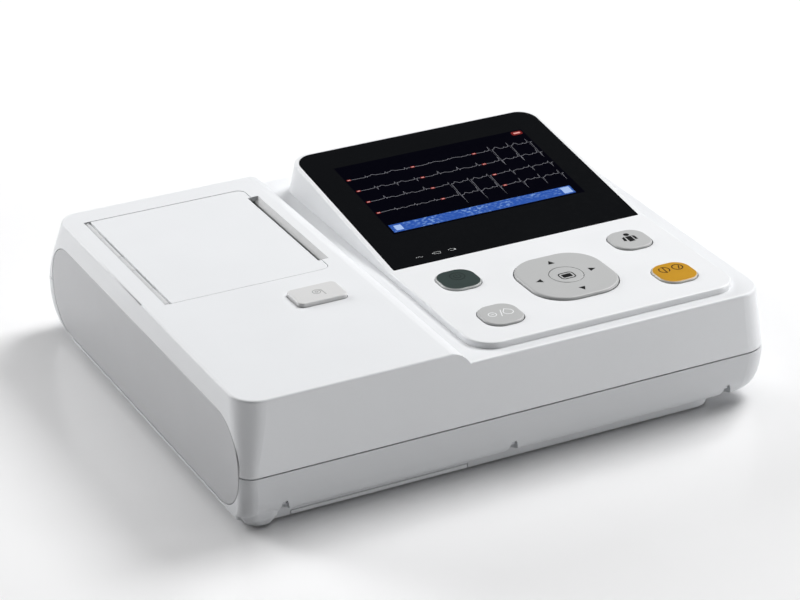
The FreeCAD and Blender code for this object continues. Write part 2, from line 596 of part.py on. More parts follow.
cover_screws = []
for x, y in cover_screw_pts:
    cover_screws.append(cut(fuse([cyl("z", x, y, 1.8, 1.2, 7.7), cyl("z", x, y, d("plinth_z") + 0.1, 2.7, 0.68)]),
                            [box(x - 1.6, x + 1.6, y - 0.35, y + 0.35, 1.0, 1.7), box(x - 0.35, x + 0.35, y - 1.6, y + 1.6, 1.0, 1.7)]))
node(group(cover_screws, "cover_screws"), "cover_screws")

feet = [cut(cone("z", x, y, 0, d("foot_rad") - 0.6, d("foot_rad"), 1.95), cyl("z", x, y, -1, 3.0, 1.5)) for x, y in foot_pts]
node(group(feet, "rubber_feet"), "rubber_feet")

screws = []
for x, y in screw_pts:
    screws.append(cut(fuse([cyl("z", x, y, 10.7, 2.75, 1.85), cyl("z", x, y, 12.0, 1.45, 24.0)]),
                      [box(x - 1.7, x + 1.7, y - 0.4, y + 0.4, 10.0, 11.5), box(x - 0.4, x + 0.4, y - 1.7, y + 1.7, 10.0, 11.5)]))
node(group(screws, "case_screws"), "case_screws")

# --------------------------------------------------------------- keypad and display housing
PL, PR, PF, PB = d("panel_left"), d("panel_right"), d("panel_front"), d("panel_back")
ZK, BY = d("pad_z"), d("bend_y")
TILT = d("tilt_deg").v
SLOPE = math.tan(math.radians(TILT))
TROT = FreeCAD.Rotation(V3(1, 0, 0), TILT)


def under_top(drop, drop_disp, y0, y1):
    """Everything above the keypad plane and the display plane, lowered by drop."""
    a, b = e(y0), e(y1)
    return extrude(profile("yz", [(a, ZK - drop), (BY, ZK - drop), (BY, ZK - drop_disp),
                                  (b, ZK - drop_disp + (b - BY) * SLOPE), (b, 110.0), (a, 110.0)])
                   if drop != drop_disp else
                   profile("yz", [(a, ZK - drop), (BY, ZK - drop), (b, ZK - drop + (b - BY) * SLOPE), (b, 110.0), (a, 110.0)]),
                   "yz", -60.0, 240.0)


pan_outer = loft([section(HR, PL - 0.8, PR + 0.8, PF - 0.7, PB + 6.0, 13.4, 11.0, 11.0, 12.0),
                  section(78.5, PL + 0.1, PR - 0.1, PF + 0.2, PB - 0.7, 12.5, 10.2, 10.2, 11.0)], True)
pan_block = cut(pan_outer, under_top(0.0, 0.0, -140.0, 140.0), "pan_block")


def on_top(ed):
    ok = True
    for v in ed.Vertexes:
        want = ZK.v if v.Y < BY.v else ZK.v + (v.Y - BY.v) * SLOPE
        ok = ok and abs(v.Z - want) < 0.02
    bb = ed.BoundBox
    return ok and not (bb.XLength > 50 and abs(bb.YMin - BY.v) < 0.5 and bb.YLength < 0.5)


pan_round = fillet(pan_block, lambda ed: 0.9 if on_top(ed) else False, 0.9, "pan_round")
PW = d("panel_wall")
pan_inner = loft([section(HR - 1.0, PL + PW - 0.8, PR - PW + 0.8, PF + PW - 0.7, PB - PW + 6.0, 11.2, 9.0, 9.0, 10.0),
                  section(78.5, PL + PW, PR - PW, PF + PW + 0.1, PB - PW - 0.5, 10.3, 8.0, 8.0, 9.0)], True)
pan_inner = cut(pan_inner, under_top(2.2, 3.5, -140.0, 140.0))


def tool_rr(x0, x1, y0, y1, r, z0, length, tilted=False):
    b = body(nm("tool"))
    pad_rr(b, x0, x1, y0, y1, r, z0, length)
    if tilted:
        place(b, 0, BY, ZK, TROT)
    return b


lens_recess = tool_rr(d("lens_left") - 0.15, d("lens_right") + 0.15, -0.1, d("lens_len") + 0.15,
                      [0.8, 9.6, 9.6, 0.8], -d("lens_thick") - 0.05, 8.0, True)
lcd_window = tool_rr(d("lcd_left") - 6.2, d("lcd_right") + 6.2, d("lcd_low") - 6.2, d("lcd_high") + 5.2, 1.0, -8.0, 10.0, True)
led_xs = [1.3, 10.5, 19.1]
led_holes = [cyl("z", x, BY + 6.0, ZK - 6.0, 1.3, 12.0) for x in led_xs]
KX = [d("key_x_left"), d("key_x_right")]
KY = [d("key_y_back"), d("key_y_front")]
KH, KG, KR = d("key_half"), d("key_gap"), d("key_rad")
key_at = {"power_key": (KX[0], KY[0]), "mode_key": (KX[0], KY[1]), "patient_key": (KX[1], KY[0]), "start_key": (KX[1], KY[1])}
key_holes = [tool_rr(x - KH - KG, x + KH + KG, y - KH - KG, y + KH + KG, KR + KG, 55.0, 12.0) for x, y in key_at.values()]
NX, NY, NH, NR = d("nav_x"), d("nav_y"), d("nav_half"), d("nav_rad")
nav_hole = tool_rr(NX - NH - 0.55, NX + NH + 0.55, NY - NH - 0.55, NY + NH + 0.55, NR + 0.5, 55.0, 12.0)
pad_pts = [(x, y) for x in (-8.0, 112.5) for y in (-97.0, -30.0)]
board_bosses = [cyl("z", x, y, 50.4, 2.6, 9.5) for x, y in pad_pts]
pan_shell = cut(pan_round, pan_inner, "pan_shell")
pan_full = fuse([pan_shell] + board_bosses)
control_panel = cut(pan_full, [lens_recess, lcd_window, nav_hole] + led_holes + key_holes
                    + [cyl("z", x, y, 49.0, 1.1, 7.0) for x, y in pad_pts], "control_panel")
node(control_panel, "control_panel")

lens_b = body("lens_body")
pad_rr(lens_b, d("lens_left"), d("lens_right"), 0.05, d("lens_len"), [0.7, 9.5, 9.5, 0.7], -d("lens_thick"), d("lens_thick") + 0.05)
place(lens_b, 0, BY, ZK, TROT)
node(lens_b, "display_lens")
lcd_b = body("lcd_body")
pad_rr(lcd_b, d("lcd_left"), d("lcd_right"), d("lcd_low"), d("lcd_high"), 0.4, -2.1, 0.6)
place(lcd_b, 0, BY, ZK, TROT)
node(lcd_b, "lcd_screen")
frame_b = body("lcd_frame_body")
pad_rr(frame_b, d("lcd_left") - 5.5, d("lcd_right") + 5.5, d("lcd_low") - 5.5, d("lcd_high") + 4.5, 1.0, -6.4, 4.3)
place(frame_b, 0, BY, ZK, TROT)
node(frame_b, "lcd_module")
ind_board = box(-6.0, 27.0, BY + 0.6, BY + 12.5, ZK - 7.0, ZK - 5.8)
node(ind_board, "indicator_board")
leds = [box(x - 1.6, x + 1.6, BY + 4.6, BY + 7.4, ZK - 5.8, ZK - 4.4) for x in led_xs]
node(group(leds, "indicator_leds"), "indicator_leds")

# --------------------------------------------------------------- keys
KT = ZK + d("key_rise")
for name, (x, y) in key_at.items():
    b = body(name + "_body")
    pad_rr(b, x - KH - 1.2, x + KH + 1.2, y - KH - 1.2, y + KH + 1.2, KR + 1.2, 57.0, 1.7)
    pad_rr(b, x - KH, x + KH, y - KH, y + KH, KR, 58.7, KT - 58.7)
    round_top(b, KT.v, 0.85)
    node(b, name)
nav_b = body("nav_body")
pad_rr(nav_b, NX - NH - 1.2, NX + NH + 1.2, NY - NH - 1.2, NY + NH + 1.2, NR + 1.2, 56.0, 1.4)
NT = ZK + d("nav_rise")
pad_rr(nav_b, NX - NH, NX + NH, NY - NH, NY + NH, NR, 57.4, NT - 57.4)
round_top(nav_b, NT.v, 1.15)
pocket_circle(nav_b, NX, NY, d("ok_rad") + 0.3, 70.0, 20.0)
node(nav_b, "nav_pad")
ring_b = body("ring_body")
pad_circle(ring_b, NX, NY, 15.0, 53.2, 1.6)
pocket_circle(ring_b, NX, NY, 12.2, 60.0, 10.0)
node(ring_b, "nav_rocker_ring")
ok_b = body("ok_body")
pad_circle(ok_b, NX, NY, 9.6, 53.2, 1.2)
pad_circle(ok_b, NX, NY, d("ok_rad"), 54.4, NT + 0.15 - 54.4)
round_top(ok_b, NT.v + 0.15, 0.5)
node(ok_b, "ok_key")

mem = [box(PL + 8.0, PR - 8.0, PF + 7.0, BY - 1.5, 50.4, 51.2)]
for x, y in key_at.values():
    mem.append(cone("z", x, y, 51.1, 5.0, 3.0, 4.1))
for dx, dy in ((18.2, 0.0), (-18.2, 0.0), (0.0, 18.2), (0.0, -18.2)):
    mem.append(cone("z", NX + dx, NY + dy, 51.1, 3.4, 2.0, 3.3))
mem.append(cyl("z", NX, NY, 51.1, 6.0, 0.5))
membrane = cut(fuse(mem), [cyl("z", x, y, 49.0, 2.9, 5.0) for x, y in pad_pts])
node(membrane, "keypad_membrane")
kb = box(PL + 7.0, PR - 7.0, PF + 6.0, BY - 0.5, 48.6, 50.2)
node(cut(kb, [cyl("z", x, y, 48.0, 1.3, 4.0) for x, y in pad_pts], "keypad_board"), "keypad_board")
kb_screws = [fuse([cyl("z", x, y, 47.0, 2.2, 1.5), cyl("z", x, y, 48.4, 1.05, 6.0)]) for x, y in pad_pts]
node(group(kb_screws, "keypad_screws"), "keypad_screws")

# --------------------------------------------------------------- paper door and platen
DL, DR, DF, DB = d("door_left"), d("door_right"), d("door_front"), d("door_back")
DT = d("door_thick")
HX, HZ, KN = d("hinge_x"), d("hinge_z"), d("knuckle_rad")
PX, PZ = d("platen_x"), d("platen_z")
door_b = body("door_plate")
pad_rr(door_b, DL, DR, DF, DB, [0.6, 0.6, 4.0, 4.0], HL - DT, DT)
pocket_rr(door_b, d("slot_left"), DR + 4.0, d("slot_front") - 0.3, d("slot_back") + 0.3, 0.5, HL + 2.0, 8.0)
round_top(door_b, HL.v, 0.35)
door_parts = [door_b]
leaf = []
for y0, y1 in ((-9.0, 8.0), (30.0, 46.0), (69.0, 86.0)):
    leaf.append(fuse([cyl("y", HX, y0, HZ, KN, y1 - y0), box(HX, DL, y0, y1, HZ - 0.8, HZ + 0.6)]))
pin_bore = [cyl("y", HX, -12.0, HZ, d("pin_rad") + d("run_gap"), 102.0)]
strip = [box(HX - 4.6, DL - 0.1, -10.6, 87.6, 60.6, 61.6), box(HX - 4.6, HX - 2.1, -10.6, 87.6, 60.6, HL - W),
         box(HX - 1.85, HX - 1.35, -10.6, 87.6, 61.2, HL - 0.5)]
for y0, y1 in ((-10.6, -9.3), (8.3, 29.7), (46.3, 68.7), (86.3, 87.6)):
    strip.append(cyl("y", HX, y0, HZ, KN, y1 - y0))
    strip.append(box(HX - 0.95, HX + 0.7, y0, y1, 61.2, HZ - 0.8))
node(cut(fuse(strip), pin_bore, "hinge_strip"), "hinge_strip")
node(group([cut(k, [cyl("y", HX, -12.0, HZ, d("pin_rad") + d("run_gap"), 102.0)]) for k in leaf], "door_knuckles"), "door_knuckles")
for y0, y1 in ((-5.5, -2.6), (78.4, 81.0)):
    door_parts.append(box(PX - 5.2, PX + 5.0, y0, y1, PZ - 0.5, HL - DT + 0.2))
    door_parts.append(cyl("y", PX, y0, PZ, 5.0, y1 - y0))
door_parts.append(box(DL + 12.0, PX - 4.0, 6.0, 7.6, HL - DT - 1.6, HL - DT + 0.2))
door_parts.append(box(DL + 12.0, PX - 4.0, 68.6, 70.2, HL - DT - 1.6, HL - DT + 0.2))
door_parts.append(box(-96.0, -94.4, 6.0, 70.2, HL - DT - 1.6, HL - DT + 0.2))
door_parts.append(box(-70.0, -57.0, DF + 0.3, DF + 2.1, HL - DT - 5.6, HL - DT + 0.2))
door_parts.append(box(-70.0, -57.0, DF + 0.3, DF + 3.2, HL - DT - 5.6, HL - DT - 4.2))
bush_bores = [cyl("y", PX, y0, PZ, 3.5, y1 - y0) for y0, y1 in ((-6.0, -2.0), (78.0, 82.0))]
paper_door = cut(fuse(door_parts), bush_bores, "paper_door")
node(paper_door, "paper_door")
node(cyl("y", HX, -9.4, HZ, d("pin_rad"), 95.8, "hinge_pin"), "hinge_pin")
bushes = []
for y0, y1 in ((-5.5, -2.6), (78.4, 81.0)):
    bushes.append(cut(cyl("y", PX, y0, PZ, 3.5, y1 - y0), cyl("y", PX, y0 - 1, PZ, d("shaft_rad") + d("run_gap"), y1 - y0 + 2)))
node(group(bushes, "platen_bushings"), "platen_bushings")
node(cut(cyl("y", PX, -1.8, PZ, d("platen_rad"), 79.4), cyl("y", PX, -3.0, PZ, d("shaft_rad"), 90.0), "platen_roller"), "platen_roller")
node(cyl("y", PX, -6.4, PZ, d("shaft_rad"), 91.6, "platen_shaft"), "platen_shaft")


def gear(teeth, x, y, z, width, bore, turn, name):
    """Spur gear on a Y axis: straight-flanked teeth with backlash."""
    m = d("gear_mod").v
    rp = teeth * m / 2.0
    ra, rf = rp + 0.85 * m, rp - 1.2 * m
    step_a = 2 * math.pi / teeth
    pts = []
    for i in range(teeth):
        a = turn + i * step_a
        for r, w in ((rf, 0.66), (rp, 0.42), (ra, 0.20)):
            pts.append(V3(r * math.sin(a - w * step_a / 2), 0, r * math.cos(a - w * step_a / 2)))
        for r, w in ((ra, 0.20), (rp, 0.42), (rf, 0.66)):
            pts.append(V3(r * math.sin(a + w * step_a / 2), 0, r * math.cos(a + w * step_a / 2)))
    pts.append(pts[0])
    solid = Part.Face(Part.makePolygon(pts)).extrude(V3(0, width, 0))
    solid = solid.cut(Part.makeCylinder(bore, width + 2, V3(0, -1, 0), V3(0, 1, 0)))
    o = doc.addObject("Part::Feature", nm(name))
    o.Shape = solid
    place(o, x, y, z)
    return o


NPL, NID, NPI = 18, 22, 14
M = d("gear_mod").v
c1 = (NPL + NID) * M / 2.0 + 0.05
c2 = (NID + NPI) * M / 2.0 + 0.05
IDX, IDZ = PX.v - 0.5, PZ.v - math.sqrt(c1 * c1 - 0.25)
PIX, PIZ = IDX + 0.3 * c2, IDZ - math.sqrt(1.0 - 0.09) * c2
# angles are measured from +Z towards +X
a_ip = math.atan2(PX.v - IDX, PZ.v - IDZ)
a_pi = a_ip + math.pi
a_im = math.atan2(PIX - IDX, PIZ - IDZ)
a_mi = a_im + math.pi
turn_id = a_ip
turn_pl = a_pi + math.pi / NPL
# tooth phase of the idler at the pinion side decides the pinion's own phase
phase = ((a_im - turn_id) / (2 * math.pi / NID)) % 1.0
turn_pi = a_mi + (phase + 0.5) * (2 * math.pi / NPI)
node(gear(NPL, PX, 81.7, PZ, 3.4, d("shaft_rad").v, turn_pl, "platen_gear"), "platen_gear")
node(gear(NID, IDX, 81.9, IDZ, 3.0, 1.56, turn_id, "idler_gear"), "idler_gear")
pin_gear = gear(NPI, PIX, 81.9, PIZ, 3.0, 1.0, turn_pi, "pinion_teeth")
node(fuse([pin_gear, cyl("y", PIX, 70.0, PIZ, 1.0, 15.2)], "motor_pinion"), "motor_pinion")

# --------------------------------------------------------------- printer
hx, hz = math.cos(math.radians(30)), -math.sin(math.radians(30))
tx, tz = math.sin(math.radians(30)), math.cos(math.radians(30))
HROT = FreeCAD.Rotation(V3(0, 1, 0), 30)


def tilted_box(n0, n1, t0, t1, y0, y1, name="tilted"):
    o = doc.addObject("Part::Box", nm(name))
    o.Length, o.Width, o.Height = n1 - n0, y1 - y0, t1 - t0
    place(o, PX + (n0 * hx + t0 * tx), y0, PZ + (n0 * hz + t0 * tz), HROT)
    return o


RP = d("platen_rad").v
node(tilted_box(RP + 0.3, RP + 1.2, -4.6, 4.6, -1.0, 77.0, "print_head"), "print_head")
node(fuse([tilted_box(RP + 1.2, RP + 4.0, -5.2, 4.2, -4.0, 78.0), tilted_box(RP + 4.0, RP + 5.2, -5.2, -3.8, -4.0, 78.0)], "head_heatsink"), "head_heatsink")


def coil(n0, n1, y, rad, wire, turns):
    helix = Part.makeHelix((n1 - n0) / turns, n1 - n0, rad)
    ring = Part.Wire([Part.makeCircle(wire, V3(rad, 0, 0), V3(0, 1, 0))])
    pipe = Part.Wire(helix.Edges).makePipeShell([ring], True, True)
    o = doc.addObject("Part::Feature", nm("coil"))
    o.Shape = pipe
    place(o, PX + (n0 * hx - 0.5 * tx), y, PZ + (n0 * hz - 0.5 * tz), FreeCAD.Rotation(V3(0, 1, 0), 120))
    return o


node(group([coil(RP + 4.4, RP + 9.0, y, 2.2, 0.3, 4.5) for y in (12.0, 38.0, 64.0)], "head_springs"), "head_springs")
chassis = fuse([
    box(-61.0, -35.5, -9.0, -7.6, 14.0, 55.8), box(-61.0, -35.5, 86.0, 87.2, 14.0, 55.8),
    box(-61.0, -35.5, -9.0, 87.2, 12.4, 14.0), tilted_box(RP + 9.4, RP + 10.6, -6.0, 4.0, -8.6, 86.8),
    box(-61.0, -35.5, 79.6, 80.8, 13.0, 47.4), cyl("y", IDX, 80.6, IDZ, 1.5, 6.0)])
chassis = cut(chassis, [cyl("y", PIX, 78.0, PIZ, 2.6, 4.0),
                        box(PX.v - 7.6, -35.0, -20.0, 100.0, 54.0, 60.0)])
node(chassis, "printer_chassis")
motor = fuse([cyl("y", PIX, 64.0, PIZ, 8.6, 15.4), box(PIX - 9.5, PIX + 12.5, 78.6, 79.6, PIZ - 5.0, PIZ + 5.0)])
node(cut(motor, cyl("y", PIX, 69.5, PIZ, 1.0 + d("run_gap"), 14.0), "drive_motor"), "drive_motor")
tear = extrude(profile("xz", [(-41.9, 62.3), (d("slot_right"), HL - 0.12), (d("slot_right"), 57.0), (-40.9, 57.0), (-40.9, 61.0), (-41.9, 61.9)]),
               "xz", d("slot_front"), d("slot_back") - d("slot_front"))
tear_feet = [box(-43.0, d("slot_right"), y0, y1, 54.9, 57.2) for y0, y1 in ((-0.8, 3.0), (73.0, 77.0))]
node(fuse([tear] + tear_feet, "tear_bar"), "tear_bar")
bay_x, bay_z = -92.4, 42.0
BR = d("bay_rad")
bay = cut(box(-123.0, -61.8, -9.0, 86.6, 12.0, 61.6),
          [box(bay_x - 28.6, bay_x + 28.6, -7.2, 84.8, bay_z, 70.0), cyl("y", bay_x, -7.2, bay_z, BR, 92.0)])
# lower corners cleared, a low lip where the paper leaves for the platen, room for the door's catch
bay_cuts = [box(-126.0, -112.0, -10.0, 90.0, 11.0, 20.0), box(-72.0, -60.0, -10.0, 90.0, 11.0, 20.0),
            box(-64.8, -60.0, -3.5, 81.0, 50.0, 64.0), box(-71.6, -60.0, -12.0, -7.0, 55.6, 64.0)]
node(cut(bay, bay_cuts, "paper_bay"), "paper_bay")

# --------------------------------------------------------------- door release
RLX, RLY, RX, RY = d("release_lx") / 2, d("release_ly") / 2, d("release_x"), d("release_y")
RT = HL + d("release_rise")
rel_b = body("release_body")
pad_rr(rel_b, RX - RLX - 1.3, RX + RLX + 1.3, RY - RLY - 1.3, RY + RLY + 1.3, 3.6, 60.2, 1.8)
pad_rr(rel_b, RX - RLX, RX + RLX, RY - RLY, RY + RLY, 3.0, 62.0, RT - 62.0)
round_top(rel_b, RT.v, 0.8)
pad_rr(rel_b, RX - 2.0, RX + 2.0, -38.4, -36.2, 0.6, 56.9, 3.4)
node(rel_b, "release_button")
PVY, PVZ = -24.0, 54.0
lever = fuse([cyl("x", RX - 7.0, PVY, PVZ, 2.6, 14.0), box(RX - 5.0, RX + 5.0, -38.0, PVY, PVZ - 0.6, PVZ + 2.4),
              box(RX - 5.0, RX + 5.0, -24.6, -21.0, PVZ, 60.6), box(RX - 5.0, RX + 5.0, -21.2, -12.4, 58.8, 60.6)])
node(cut(lever, cyl("x", RX - 20.0, PVY, PVZ, 1.26, 40.0), "latch_lever"), "latch_lever")
node(cyl("x", RX - 11.0, PVY, PVZ, 1.2, 22.0, "latch_pin"), "latch_pin")
brk = fuse([box(RX - 10.6, RX - 8.4, -25.9, -20.0, 50.0, 57.6), box(RX + 8.4, RX + 10.6, -25.9, -20.0, 50.0, 57.6),
            box(RX - 10.6, RX - 8.4, -24.8, -20.0, 57.4, HL - W), box(RX + 8.4, RX + 10.6, -24.8, -20.0, 57.4, HL - W),
            box(RX - 10.6, RX + 10.6, -44.0, -20.0, 48.4, 50.1)])
node(cut(brk, cyl("x", RX - 20.0, PVY, PVZ, 1.2, 40.0), "latch_bracket"), "latch_bracket")
spring = doc.addObject("Part::Feature", nm("release_coil"))
spring.Shape = Part.Wire(Part.makeHelix(9.3 / 5.0, 9.3, 2.6).Edges).makePipeShell(
    [Part.Wire([Part.makeCircle(0.3, V3(2.6, 0, 0), V3(0, 1, 0))])], True, True)
place(spring, RX + 8.2, -39.5, 50.5)
node(spring, "release_spring")

# --------------------------------------------------------------- boards, battery, speaker
bt = d("board_thick")
ZB = ZU + 10.0
mb = [box(-16.0, 118.0, -92.0, 56.0, ZB, ZB + bt), box(20.0, 62.0, -60.0, -20.0, ZB + 1.4, ZB + 5.0), box(74.0, 92.0, -50.0, -32.0, ZB + 1.4, ZB + 3.2),
      box(-10.0, 12.0, 10.0, 30.0, ZB + 1.4, ZB + 4.0), box(30.0, 70.0, 40.0, 48.0, ZB + 1.4, ZB + 8.0), box(-12.0, -6.0, -60.0, -20.0, ZB + 1.4, ZB + 7.0),
      cyl("z", 100.0, 20.0, ZB + 1.4, 5.0, 11.0), cyl("z", 86.0, 20.0, ZB + 1.4, 5.0, 11.0)]
node(cut(fuse(mb), [cyl("z", x, y, ZB - 2, 1.7, 6.0) for x, y in ((-12.0, -88.0), (114.0, -88.0), (-12.0, 52.0), (114.0, 52.0))], "main_board"), "main_board")
ps = [box(-18.0, 50.0, 62.0, 96.0, ZU + 8.0, ZU + 9.6), box(0.0, 24.0, 68.0, 90.0, ZU + 9.4, ZU + 30.0), cyl("z", 36.0, 72.0, ZU + 9.4, 6.5, 24.0),
      cyl("z", 36.0, 88.0, ZU + 9.4, 5.0, 16.0), box(-14.0, -8.0, 74.0, 86.0, ZU + 9.4, ZU + 22.0)]
node(cut(fuse(ps), [cyl("z", x, y, ZU + 6, 1.7, 6.0) for x, y in ((-14.0, 66.0), (46.0, 66.0), (-14.0, 92.0), (46.0, 92.0))], "power_board"), "power_board")
b_scr = []
for x, y in ((-12.0, -88.0), (114.0, -88.0), (-12.0, 52.0), (114.0, 52.0)):
    b_scr.append(fuse([cyl("z", x, y, ZB + bt, 2.7, 1.8), cyl("z", x, y, ZB, 1.4, 3.0)]))
for x, y in ((-14.0, 66.0), (46.0, 66.0), (-14.0, 92.0), (46.0, 92.0)):
    b_scr.append(fuse([cyl("z", x, y, ZU + 9.6, 2.7, 1.8), cyl("z", x, y, ZU + 8.0, 1.4, 3.0)]))
node(group(b_scr, "board_screws"), "board_screws")
bat_b = body("battery_body")
pad_rr(bat_b, -107.6, -27.8, -102.6, -54.8, 3.0, 3.3, 20.0)
round_top(bat_b, 23.3, 1.5)
node(bat_b, "battery_pack")
node(fuse([cyl("z", 60.0, 20.0, ZU + 2.7, 13.5, 2.4), cyl("z", 60.0, 20.0, ZU + 5.0, 8.0, 2.6)], "speaker"), "speaker")

# --------------------------------------------------------------- sockets
IX, IZ = d("inlet_x"), d("inlet_z")
inlet = cut(box(IX - 15.0, IX + 15.0, B - 31.5, B - 12.0, IZ - 10.0, IZ + 9.9),
            extrude(profile("xz", [(IX - 12.1, IZ - 8.1), (IX + 12.1, IZ - 8.1), (IX + 12.1, IZ + 3.4), (IX + 7.6, IZ + 8.1), (IX - 7.6, IZ + 8.1), (IX - 12.1, IZ + 3.4)]),
                    "xz", B - 28.5, 20.0))
node(fillet(inlet, lambda ed: 1.2 if (ed.BoundBox.YLength > 15 and (abs(abs(ed.BoundBox.XMin - IX.v) - 15.0) < 0.01)) else False, 1.2), "power_inlet")
pins = [box(IX - 8.0, IX - 6.0, B - 28.5, B - 14.0, IZ - 4.4, IZ - 0.4), box(IX + 6.0, IX + 8.0, B - 28.5, B - 14.0, IZ - 4.4, IZ - 0.4),
        box(IX - 1.0, IX + 1.0, B - 28.5, B - 13.0, IZ + 0.9, IZ + 4.9)]
pins = [fillet(p, lambda ed: 0.4 if abs(ed.BoundBox.YMax - ed.BoundBox.YMin) < 0.01 and ed.BoundBox.YMin > B.v - 16 else False, 0.4) for p in pins]
node(group(pins, "inlet_pins"), "inlet_pins")
SX, SZ, SR = d("stud_x"), d("stud_z"), d("stud_rad")
stud = fuse([cyl("y", SX, B - 9.5, SZ, 4.6, 1.3), cyl("y", SX, B - 8.2, SZ, SR, 6.2), cyl("y", SX, B - 17.0, SZ, 2.0, 8.0)])
stud = fillet(stud, lambda ed: 0.5 if abs(ed.BoundBox.YMin - (B.v - 2.0)) < 0.01 and ed.BoundBox.YLength < 0.01 else False, 0.5)
node(stud, "equipotential_stud")
hexa = [(4.2 * math.cos(math.radians(60 * i)), 4.2 * math.sin(math.radians(60 * i))) for i in range(6)]
nut = extrude(profile("xz", [(SX + u, SZ + v) for u, v in hexa]), "xz", B - 14.6, 3.0)
node(cut(nut, cyl("y", SX, B - 18.0, SZ, 2.0, 10.0), "stud_nut"), "stud_nut")
QY, QZ = d("plug_y"), d("plug_z")


def dee(y_half_top, y_half_bot, z_half, x0, length):
    return extrude(profile("yz", [(QY - y_half_bot, QZ - z_half), (QY + y_half_bot, QZ - z_half), (QY + y_half_top, QZ + z_half), (QY - y_half_top, QZ + z_half)]),
                   "yz", x0, length)


plug = fuse([box(R - 9.5, R - 8.5, QY - 19.6, QY + 19.6, QZ - 6.2, QZ + 6.2), box(R - 18.0, R - 9.4, QY - 13.0, QY + 13.0, QZ - 4.9, QZ + 4.9)])
jack_holes = [cyl("x", R - 20.0, QY + s * 16.65, QZ, 1.6, 18.0) for s in (-1, 1)]
node(cut(plug, jack_holes, "patient_socket"), "patient_socket")
shell = fillet(dee(12.5, 11.0, 4.2, R - 8.5, 5.5), lambda ed: 1.6 if ed.BoundBox.XLength > 5.0 else False, 1.6)
pin_holes = [cyl("x", R - 8.0, QY + (i - 3.5) * 2.74, QZ + 1.42, 0.7, 8.0) for i in range(8)]
pin_holes += [cyl("x", R - 8.0, QY + (i - 3.0) * 2.74, QZ - 1.42, 0.7, 8.0) for i in range(7)]
node(cut(shell, pin_holes, "socket_shell"), "socket_shell")
jacks = []
for s in (-1, 1):
    hx6 = [(2.75 * math.cos(math.radians(60 * i)), 2.75 * math.sin(math.radians(60 * i))) for i in range(6)]
    j = fuse([extrude(profile("yz", [(QY + s * 16.65 + u, QZ + v) for u, v in hx6]), "yz", R - 8.5, 5.0), cyl("x", R - 14.0, QY + s * 16.65, QZ, 1.45, 6.0)])
    jacks.append(cut(j, cyl("x", R - 8.0, QY + s * 16.65, QZ, 1.25, 6.0)))
node(group(jacks, "socket_posts"), "socket_posts")

# --------------------------------------------------------------- check and write
doc.recompute()
bad = []
for o in doc.Objects:
    if "Invalid" in o.State or "Error" in o.State:
        bad.append("%s (%s): %s" % (o.Name, o.Label, o.State))
for name, o in NODES:
    if o.Shape.isNull() or not o.Shape.isValid() or not o.Shape.Solids:
        bad.append("%s: null, invalid or no solid" % name)
if bad:
    raise RuntimeError("faults: " + "; ".join(bad))
os.makedirs("parts", exist_ok=True)
for name, o in NODES:
    o.Shape.exportStep("parts/%s.step" % name)
    bb = o.Shape.BoundBox
    print("%-22s solids %2d  vol %10.1f  x %7.1f %7.1f  y %7.1f %7.1f  z %6.1f %6.1f" % (
        name, len(o.Shape.Solids), o.Shape.Volume, bb.XMin, bb.XMax, bb.YMin, bb.YMax, bb.ZMin, bb.ZMax))
print(len(NODES), "nodes written")
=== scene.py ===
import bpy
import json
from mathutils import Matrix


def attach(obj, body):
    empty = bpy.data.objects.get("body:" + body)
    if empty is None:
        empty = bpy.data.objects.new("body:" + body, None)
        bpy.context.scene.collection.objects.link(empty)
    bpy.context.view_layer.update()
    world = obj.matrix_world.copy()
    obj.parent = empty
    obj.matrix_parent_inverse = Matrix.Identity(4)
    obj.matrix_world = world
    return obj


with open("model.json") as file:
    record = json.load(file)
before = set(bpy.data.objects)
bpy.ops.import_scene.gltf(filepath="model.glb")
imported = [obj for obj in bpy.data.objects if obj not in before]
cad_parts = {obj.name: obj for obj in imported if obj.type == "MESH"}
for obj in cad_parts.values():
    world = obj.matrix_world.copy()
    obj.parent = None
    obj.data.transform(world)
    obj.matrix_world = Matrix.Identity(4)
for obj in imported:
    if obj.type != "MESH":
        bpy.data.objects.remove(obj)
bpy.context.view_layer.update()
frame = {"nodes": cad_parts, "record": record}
import json
import math
import bpy
import bmesh
from mathutils import Matrix, Vector

NODES = frame["nodes"]
MM = 0.001

# ------------------------------------------------------------------ materials
def tree(name):
    m = bpy.data.materials.new(name)
    m.use_nodes = True
    nt = m.node_tree
    for n in list(nt.nodes):
        nt.nodes.remove(n)
    out = nt.nodes.new("ShaderNodeOutputMaterial")
    bsdf = nt.nodes.new("ShaderNodeBsdfPrincipled")
    nt.links.new(bsdf.outputs[0], out.inputs[0])
    return m, nt, bsdf


def noise(nt, coord, scale, detail=3.0, rough=0.55):
    n = nt.nodes.new("ShaderNodeTexNoise")
    n.inputs["Scale"].default_value = scale
    n.inputs["Detail"].default_value = detail
    n.inputs["Roughness"].default_value = rough
    nt.links.new(coord, n.inputs["Vector"])
    return n.outputs[0]


def remap(nt, val, a, b, lo=0.3, hi=0.7):
    n = nt.nodes.new("ShaderNodeMapRange")
    n.inputs["From Min"].default_value = lo
    n.inputs["From Max"].default_value = hi
    n.inputs["To Min"].default_value = a
    n.inputs["To Max"].default_value = b
    nt.links.new(val, n.inputs["Value"])
    return n.outputs[0]


def mixrgb(nt, fac, a, b):
    n = nt.nodes.new("ShaderNodeMix")
    n.data_type = "RGBA"
    nt.links.new(fac, n.inputs[0])
    for sock, v in ((n.inputs[6], a), (n.inputs[7], b)):
        if isinstance(v, (tuple, list)):
            sock.default_value = (v[0], v[1], v[2], 1.0)
        else:
            nt.links.new(v, sock)
    return n.outputs[2]


